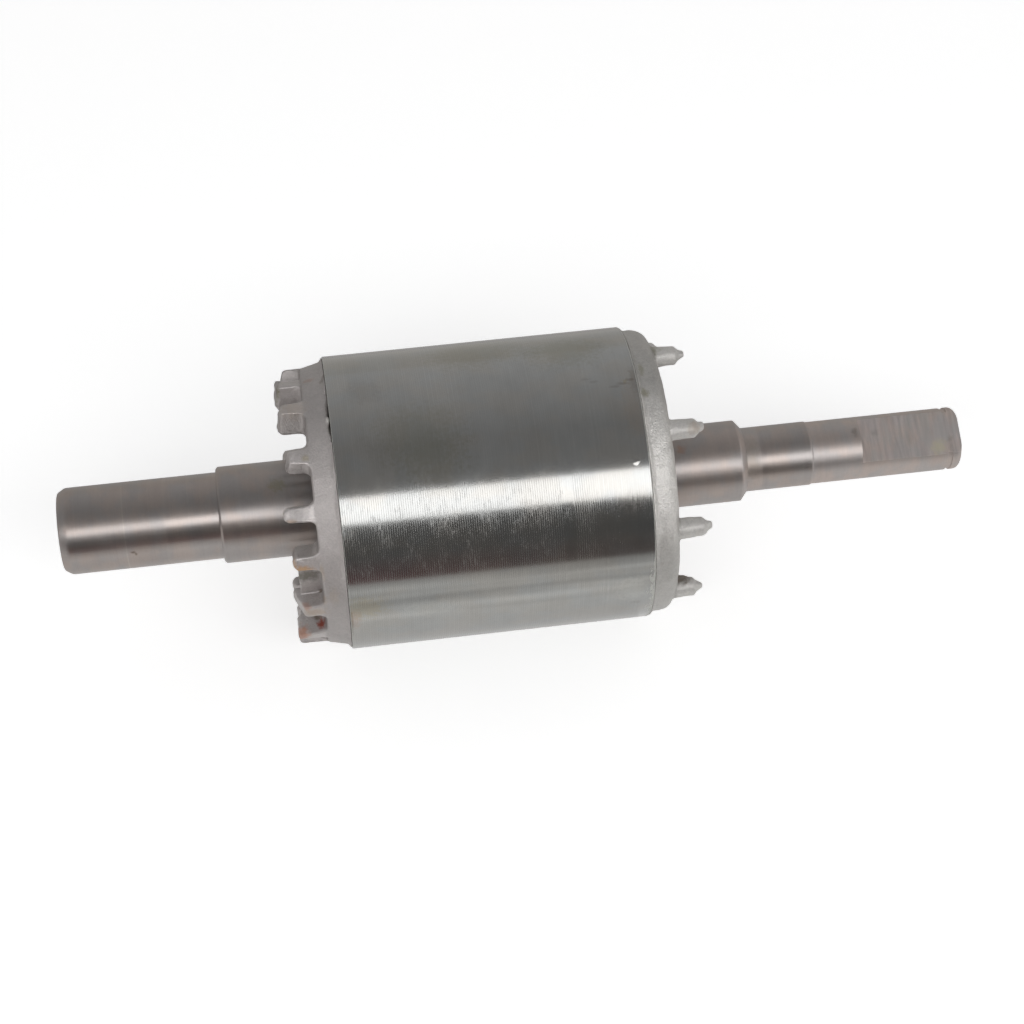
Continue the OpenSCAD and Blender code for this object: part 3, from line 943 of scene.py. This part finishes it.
# Where the stack is worn: less from this station on, and most where it looks this way
WORN_X = 60 * MM
WORN_RIGHT, WORN_ELSEWHERE = 0.3, 0.25
WORN_WAY = round_point(0, 1, math.radians(54))
WORN_WAY_SPAN = (0.958 * STACK_R, 0.984 * STACK_R)
OPEN_WAY_SPAN = (0.945 * STACK_R, 0.972 * STACK_R)
WORN_PATCHES, WORN_SCRATCHES, WORN_GRAIN = (0.4, 0.62), (0.42, 0.7), (0.5, 0.7)
RAISED_GRAIN = (0.54, 0.74)
# Roughness of the stack, and what cloud, scratches, grain, smears and joints add
CORE_ROUGH, CORE_CLOUD_ROUGH = 0.135, 0.05
SCRATCH_ROUGH, GRAIN_ROUGH, SMEAR_ROUGH = 0.2, 0.05, 0.35
CLOSED_ROUGH, OPEN_ROUGH = 0.05, 0.18
SMEAR_METAL = -0.5
CORE_ANISOTROPY = 0.5
GRAIN_HEIGHT = 0.0036 * MM
# A small burr that catches the light
BURR_AT = (100 * MM, STACK_R, math.radians(35.6))
BURR_SIZE = 0.95 * MM
BURR_STRETCH = (1.1, 0.8, 0.8)
BURR_HEIGHT = 0.07 * MM


def worn(s, patches):
    """1 where the stack is worn: in patches, mostly at the left and in front."""
    left = s.fade(s.x, WORN_X, STACK_X1, 1.0, WORN_RIGHT)
    front = facing(s, WORN_WAY, *WORN_WAY_SPAN)
    return s.times(s.fade(patches, *WORN_PATCHES), left, s.lerp(front, WORN_ELSEWHERE, 1.0))


def end_colour(s, patches):
    """The stack's end faces: bare sheet near the shaft, painted shade in the corner under the rings, and
    cast metal at the edge.
    """
    deep = s.math("LESS_THAN", s.radius, RING_R - END_CORNER)
    covered = s.fade(s.radius, END_SHEET_R, END_SHEET_R + MM)
    sheet = s.shade(END_STEEL, s.weighted(END_LIGHT, (patches, END_PATCHES)))
    # Painted shade in the corner under the rings
    return s.mix(deep, PALE, s.mix(covered, sheet, RECESS_SHADE))


def core_steel():
    """Edges of the turned sheets, with fine joints, wear and stains."""
    s = Shader("core_steel")
    shades = [s.noise(*kind) for kind in (CORE_SHEETS, CORE_CLOUD, CORE_PATCHES, CORE_GRAIN)]
    _, cloud, patches, grain = shades
    joints = sheet_lines(s)
    smear = end_smear(s)
    dull = worn(s, patches)
    level = s.weighted(CORE_LIGHT, *zip(shades, CORE_LIGHT_ADDS))
    level = s.times(level, s.gain(joints, JOINT_LIGHT, BETWEEN_JOINTS))
    steel = s.mix(s.fade(s.noise(*CORE_TONE), *CORE_TONE_SPAN), CORE_COOL, CORE_WARM)
    colour, _ = s.marked(s.shade(steel, level), CORE_STAINS_AND_PAINTED_LIGHT)
    colour = s.mix(smear, colour, end_colour(s, patches))
    scratched = s.times(s.fade(s.noise(*CORE_SCRATCHES), *WORN_SCRATCHES), SCRATCH_ROUGH)
    haze = s.times(dull, s.weighted(scratched, (s.fade(grain, *WORN_GRAIN), GRAIN_ROUGH)))
    open_joints = s.lerp(facing(s, WORN_WAY, *OPEN_WAY_SPAN), CLOSED_ROUGH, OPEN_ROUGH)
    rough = s.total(s.weighted(CORE_ROUGH, (cloud, CORE_CLOUD_ROUGH)), haze, s.times(joints, open_joints))
    rough = s.weighted(rough, (smear, SMEAR_ROUGH))
    s.set(Base_Color=colour, Metallic=s.gain(smear, SMEAR_METAL), Roughness=rough)
    s.set(Anisotropic=CORE_ANISOTROPY)
    burr = s.spot(round_point(*BURR_AT), BURR_SIZE, 1.0, BURR_STRETCH, 1.0)
    relief = s.weighted(s.times(s.fade(grain, *RAISED_GRAIN), dull), (burr, BURR_HEIGHT / GRAIN_HEIGHT))
    s.set(Normal=s.bump(relief, GRAIN_HEIGHT))
    along_axis(s)
    return s.material


# Painted shade deep in the gap beside the stack: its depths, softness, stretch and raggedness
GAP_ASIDE, GAP_DEPTH = 0.3 * MM, 0.95 * MM
GAP_SOFT, GAP_STRETCH, GAP_RAGGED = 0.5, (0.8, 5.4, 0.6), 0.2


def painted_gap_shade(s):
    """1 deep in the gap that the casting left beside the stack, where shade is painted."""
    deep = round_point(STACK_X0 - GAP_ASIDE, RING_R - GAP_DEPTH, GAP_TURN)
    return s.spot(deep, MM, GAP_SOFT, GAP_STRETCH, GAP_RAGGED)


# Way that the front which faces the soft box looks, and what painted shade takes away elsewhere at either
# end
LIT_FRONT_WAY = round_point(0, 1, math.radians(40))
LIT_FRONT_SPAN = (0.75 * RING_R, 0.97 * RING_R)
FAN_PAINTED_SHADE, PIN_PAINTED_SHADE = 0.25, 0.36


def painted_front_light(s, side):
    """How light the casting is, as painted light: lighter at the front, which faces the soft box, with
    painted shade elsewhere.
    """
    front = facing(s, LIT_FRONT_WAY, *LIT_FRONT_SPAN)
    return s.rest(s.times(s.rest(front), s.lerp(side, FAN_PAINTED_SHADE, PIN_PAINTED_SHADE)))


# Clouds on the casting: size in millimetres, detail, stretch, shift and roughness
CAST_SAND = (0.42, 3, EVEN, 1, 0.6)
CAST_GRAINS = (0.8, 4, EVEN, 15, 0.65)
CAST_CLOUD = (4, 3, EVEN, 4)
CAST_MOTTLE = (1.9, 3, EVEN, 17, 0.6)
# Lightness of the casting, and what sand, cloud and mottle add
CAST_LIGHT = 0.58
CAST_LIGHT_ADDS = (0.4, 0.22, 0.22)
PINS_LIGHT = 0.85
# Values at the fan end, on the pin ring and on the pins
GRAINS_LIGHT = (0.2, 0.3, 0.15)
CAST_METAL = (0.6, 0.8, 0.5)
CAST_ROUGH = (0.38, 0.3, 0.42)
SAND_RELIEF = (0.8, 1.1, 0.4)
GRAINS_RELIEF = (0.55, 1.0, 0.3)
# What the blades add to lightness, metal and roughness
BLADE_LIGHT, BLADE_METAL, BLADE_ROUGH = 0.16, 0.15, -0.12
# What sand, mottle and the marks of the stain tables add to roughness, and what those marks take from the
# metal
CAST_ROUGH_ADDS = (0.1, 0.12, 0.1)
CAST_MARK_METAL = -0.8
CAST_BUMP = 0.16 * MM
# Stations between which the look changes to that of pins or blades
PINS_SPAN = (PIN_FACE_X - 0.2 * MM, PIN_FACE_X + 0.6 * MM)
BLADES_SPAN = (FAN_FACE_X - 0.8 * MM, FAN_FACE_X + 0.2 * MM)


def cast_aluminium():
    """A sandy cast skin, which differs from the blades to the pins, with rust and stains, painted shade in
    the gap and in a pocket, a painted glint, and painted light that is lighter at the front.
    """
    s = Shader("cage_aluminium")
    kinds = (CAST_SAND, CAST_GRAINS, CAST_CLOUD, CAST_MOTTLE)
    sand, grains, cloud, mottle = [s.noise(*kind) for kind in kinds]
    side = s.fade(s.x, STACK_X0, STACK_X1)
    pins = s.fade(s.x, *PINS_SPAN)
    blades = s.fade(s.x, *BLADES_SPAN, 1.0, 0.0)

    def by_place(fan, ring, pin):
        return s.lerp(pins, s.lerp(side, fan, ring), pin)

    level = s.weighted(CAST_LIGHT, *zip((sand, cloud, mottle), CAST_LIGHT_ADDS), (blades, BLADE_LIGHT))
    level = s.weighted(level, (s.centred(grains), by_place(*GRAINS_LIGHT)))
    # Painted light: the casting is lighter at the front and darker elsewhere
    level = s.times(level, s.lerp(pins, painted_front_light(s, side), PINS_LIGHT))
    colour, marks = s.marked(s.shade(s.mix(side, FAN_COLOUR, PIN_COLOUR), level), CAST_STAINS_AND_PAINTED_LIGHT)
    # Painted shade deep in the gap beside the stack
    gap = s.times(painted_gap_shade(s), s.rest(marks))
    bare = s.gain(s.math("MAXIMUM", marks, gap), CAST_MARK_METAL)
    metal = s.times(s.weighted(by_place(*CAST_METAL), (blades, BLADE_METAL)), bare)
    polish = s.weighted(by_place(*CAST_ROUGH), (blades, BLADE_ROUGH))
    rough = s.weighted(polish, *zip((sand, mottle, marks), CAST_ROUGH_ADDS))
    s.set(Base_Color=s.mix(gap, colour, RECESS_SHADE), Metallic=metal, Roughness=rough)
    relief = s.total(s.times(sand, by_place(*SAND_RELIEF)), s.times(grains, by_place(*GRAINS_RELIEF)))
    s.set(Normal=s.bump(relief, CAST_BUMP))
    return s.material


# Ground, light and camera

def stage_plane(name, corners, material):
    """A flat sheet that belongs to the stage, not to the part."""
    mesh = bpy.data.meshes.new(name)
    mesh.from_pydata(corners, [], [range(len(corners))])
    plane = new_object(name, mesh)
    mesh.materials.append(material)
    return plane


def bare_material(name):
    """A new material without nodes, and its tree."""
    material = bpy.data.materials.new(name)
    material.use_nodes = True
    material.node_tree.nodes.clear()
    return material, Tree(material.node_tree)


GROUND_HALF = 6.0
GROUND_COLOUR = (0.9, 0.9, 0.9, 1)
GROUND_GLOW = 0.55


def ground():
    """A white floor that keeps the rotor's shadow."""
    material, tree = bare_material("white_ground")
    path = tree.add("ShaderNodeLightPath").outputs
    seen = path["Is Camera Ray"]
    for other in ("Is Glossy Ray", "Is Transmission Ray"):
        seen = tree.math("MAXIMUM", seen, path[other])
    matt = tree.add("ShaderNodeBsdfDiffuse", {"Color": GROUND_COLOUR}).outputs[0]
    glow = tree.add("ShaderNodeEmission", {"Strength": tree.times(seen, GROUND_GLOW)}).outputs[0]
    both = tree.add("ShaderNodeAddShader", {0: matt, 1: glow}).outputs[0]
    tree.add("ShaderNodeOutputMaterial", {"Surface": both})
    h, z = GROUND_HALF, GROUND_Z
    stage_plane("ground", [(-h, -h, z), (h, -h, z), (h, h, z), (-h, h, z)], material)


STREAK_SCALE = (14, 55, 55)


def emitter(name, axis, low, high, low_colour, high_colour, strength=1.0, streaks=0.0, left_colour=None):
    """A glowing, streaky material whose colour changes along an axis, and at its low end to the left too."""
    material, tree = bare_material(name)
    place = tree.add("ShaderNodeTexCoord").outputs["Object"]
    if left_colour:
        across = tree.ramp(place, "X", FRONT_RED_LEFT, FRONT_RED_RIGHT)
        low_colour = tree.mix(across, left_colour, low_colour)
    colour = tree.mix(tree.ramp(place, axis, low, high), low_colour, high_colour)
    stretched = tree.add("ShaderNodeMapping", {"Vector": place, "Scale": STREAK_SCALE}).outputs[0]
    cloud = tree.add("ShaderNodeTexNoise", {"Vector": stretched, "Scale": 1.0}).outputs["Fac"]
    limits = {"To Min": strength * (1 - streaks), "To Max": strength * (1 + streaks)}
    level = tree.add("ShaderNodeMapRange", {"Value": cloud, **limits}).outputs["Result"]
    glow = tree.add("ShaderNodeEmission", {"Color": colour, "Strength": level}).outputs[0]
    tree.add("ShaderNodeOutputMaterial", {"Surface": glow})
    return material


def even_glow(name, strength=1.0, colour=(1, 1, 1)):
    """A glowing material of one colour."""
    return emitter(name, "X", KEY_LEFT, KEY_RIGHT, colour, colour, strength)


MIDDLE_X = (STACK_X0 + STACK_X1) / 2
# The soft box: elevations of its long edges in degrees, seen from the axis, its distance and its ends
KEY_LOW, KEY_HIGH = 33.2, 53.2
KEY_DISTANCE = 0.95
KEY_LEFT, KEY_RIGHT = -0.6, 0.9
# Reflections see a second box farther to the right
FAR_LEFT, FAR_RIGHT = 1.6, 3.4
FAR_STRENGTH = 4.5
KEY_STRENGTH = 2.75
CARD_LEFT, CARD_RIGHT = -1.5, 1.8
# The dark card is higher at the left, and at the right a strip of light shows below the soft box
CARD_TOP = ((CARD_LEFT, 36.5), (-0.04, 35.5), (0.115, KEY_LOW), (CARD_RIGHT, KEY_LOW))
STRIP_Y = -0.178
STRIP_TOP = ((0.12, KEY_LOW + 1), (0.6, KEY_LOW + 1))
STRIP_BOTTOM = ((0.6, 22), (0.216, 24), (0.12, KEY_LOW))
STRIP_STRENGTH = 2.2
END_STRENGTH = 2.5
FRONT_Y = -0.18
FRONT_RED, FRONT_LOW, FRONT_HIGH = (0.17, 0.078, 0.08), (0.135, 0.112, 0.106), (0.13, 0.128, 0.125)
FRONT_RED_LEFT, FRONT_RED_RIGHT = 0.03, 0.1
FRONT_WARM_TOP = 0.03
FRONT_STREAKS, APRON_STREAKS = 0.3, 0.9
APRON_Y = -0.055
APRON_BACK_Y = 0.03
APRON_RAISE = 0.2 * MM
APRON_FAR, APRON_NEAR = (0.50, 0.49, 0.47), (0.86, 0.86, 0.85)
# Painted shadow of the stack and the shaft on the floor, as reflections see it
STACK_SHADOW_GREY, SHAFT_SHADOW_GREY = (0.26, 0.255, 0.25), (0.62, 0.61, 0.60)
BACK_Y = 0.14
BEHIND_COLOUR = (0.42, 0.41, 0.40)
END_STRIP = ((-0.32, -0.24, 0.33), (-0.315, -0.35, 0.22), (-0.5, -0.157, 0.04), (-0.51, -0.08, 0.12))
BACK_TOP = 0.06
BACK_COLOUR = (0.5, 0.49, 0.47)


def box_corners(left, right):
    """Corners of a soft box over the camera's side, between two stations."""
    low, high = [math.radians(90 - elevation) for elevation in (KEY_LOW, KEY_HIGH)]
    corners = ((left, low), (right, low), (right, high), (left, high))
    return [round_point(x, KEY_DISTANCE, turn) for x, turn in corners]


def key_light():
    """A long soft box, and the one that only reflections see."""
    glow = even_glow("soft_box", KEY_STRENGTH)
    box = stage_plane("soft_box", box_corners(KEY_LEFT, KEY_RIGHT), glow)
    box.visible_camera = False
    card("far_box", box_corners(FAR_LEFT, FAR_RIGHT), even_glow("far_box", FAR_STRENGTH))


def card(name, corners, material):
    """A card which only reflections see."""
    plane = stage_plane(name, corners, material)
    plane.visible_camera = False
    plane.visible_diffuse = False
    plane.visible_transmission = False
    plane.visible_shadow = False


def floor_card(name, x0, x1, y0, y1, material):
    """A card that lies just over the floor."""
    z = GROUND_Z + APRON_RAISE
    card(name, [(x0, y0, z), (x1, y0, z), (x1, y1, z), (x0, y1, z)], material)


def raised(y, points):
    """Corners of an upright card, each given as a station and an elevation seen from the axis."""
    return [(x, y, -y * math.tan(math.radians(elevation))) for x, elevation in points]


def front_cards():
    """A dark card in front with a strip of light, and a strip of light for the shaft's plain end."""
    foot = [(CARD_RIGHT, FRONT_Y, GROUND_Z), (CARD_LEFT, FRONT_Y, GROUND_Z)]
    span = ("Z", GROUND_Z, FRONT_WARM_TOP)
    dark = emitter("front_card", *span, FRONT_LOW, FRONT_HIGH, streaks=FRONT_STREAKS, left_colour=FRONT_RED)
    card("front_card", raised(FRONT_Y, CARD_TOP) + foot, dark)
    light = even_glow("light_strip", STRIP_STRENGTH)
    card("light_strip", raised(STRIP_Y, STRIP_TOP + STRIP_BOTTOM), light)
    card("end_strip", END_STRIP, even_glow("end_strip", END_STRENGTH))


def grey_cards():
    """Grey cards on the floor, in front of the rotor, under it with its painted shadow, and behind it, and a
    low upright one.
    """
    grey = emitter("apron", "Y", FRONT_Y, APRON_Y, APRON_FAR, APRON_NEAR, streaks=APRON_STREAKS)
    floor_card("apron", CARD_LEFT, CARD_RIGHT, FRONT_Y, APRON_Y, grey)
    under = (APRON_Y, APRON_BACK_Y)
    # Painted shadow of the stack and the shaft on the floor, as reflections see it
    stack_shadow = emitter("under_stack", "Y", *under, APRON_NEAR, STACK_SHADOW_GREY)
    floor_card("under_stack", STACK_X0, STACK_X1, *under, stack_shadow)
    shaft_shadow = emitter("under_shaft", "Y", *under, APRON_NEAR, SHAFT_SHADOW_GREY)
    floor_card("under_left", CARD_LEFT, STACK_X0, *under, shaft_shadow)
    floor_card("under_right", STACK_X1, CARD_RIGHT, *under, shaft_shadow)
    shade = even_glow("floor_behind", colour=BEHIND_COLOUR)
    floor_card("floor_behind", CARD_LEFT, CARD_RIGHT, APRON_BACK_Y, BACK_Y, shade)
    foot = [(CARD_LEFT, BACK_Y, GROUND_Z), (CARD_RIGHT, BACK_Y, GROUND_Z)]
    top = [(x, y, BACK_TOP) for x, y, _ in foot[::-1]]
    card("back_card", foot + top, even_glow("back_card", colour=BACK_COLOUR))


SKY_COLOUR = (1, 1, 1, 1)
SKY_OVER = 0.29
SKY_BEHIND = 0.54


def sky():
    """A dim dome, a little lighter towards the back."""
    world = bpy.data.worlds.new("dome")
    bpy.context.scene.world = world
    world.use_nodes = True
    tree = Tree(world.node_tree)
    way = tree.add("ShaderNodeTexCoord").outputs["Generated"]
    back = tree.add("ShaderNodeSeparateXYZ", {"Vector": way}).outputs["Y"]
    limits = {"To Min": SKY_OVER, "To Max": SKY_BEHIND}
    level = tree.add("ShaderNodeMapRange", {"Value": back, **limits}).outputs["Result"]
    background = world.node_tree.nodes["Background"]
    tree.feed(background.inputs["Color"], SKY_COLOUR)
    tree.feed(background.inputs["Strength"], level)


VIEW_AZIMUTH = -7.8
VIEW_ELEVATION = 51.4
VIEW_DISTANCE = 0.5676
VIEW_LENS = 85.57
SENSOR_WIDTH = 36
AIM_RIGHT = 6.46 * MM
AIM_DOWN = 5.78 * MM


def camera():
    """A camera where the photograph was taken from."""
    azimuth, elevation = math.radians(VIEW_AZIMUTH), math.radians(VIEW_ELEVATION)
    back = Vector((
        math.sin(azimuth) * math.cos(elevation),
        -math.cos(azimuth) * math.cos(elevation),
        math.sin(elevation),
    ))
    right = Vector((0, 0, 1)).cross(back).normalized()
    up = back.cross(right)
    aim = Vector((MIDDLE_X, 0, 0)) + right * AIM_RIGHT - up * AIM_DOWN
    data = bpy.data.cameras.new("camera")
    data.lens = VIEW_LENS
    data.sensor_width = SENSOR_WIDTH
    eye = new_object("camera", data)
    turned = Matrix((right, up, back)).transposed().to_4x4()
    eye.matrix_world = Matrix.Translation(aim + back * VIEW_DISTANCE) @ turned
    bpy.context.scene.camera = eye


camera()
ground()
key_light()
front_cards()
grey_cards()
sky()
bpy.context.scene.view_settings.view_transform = "Standard"

new_piece("turned_shaft", shaft_mesh(), shaft_steel(), "shaft")
new_piece("sheet_stack", stack_mesh(), core_steel(), "lamination_stack")
new_piece("cast_cage", cage_mesh(), cast_aluminium(), "rotor_cage")
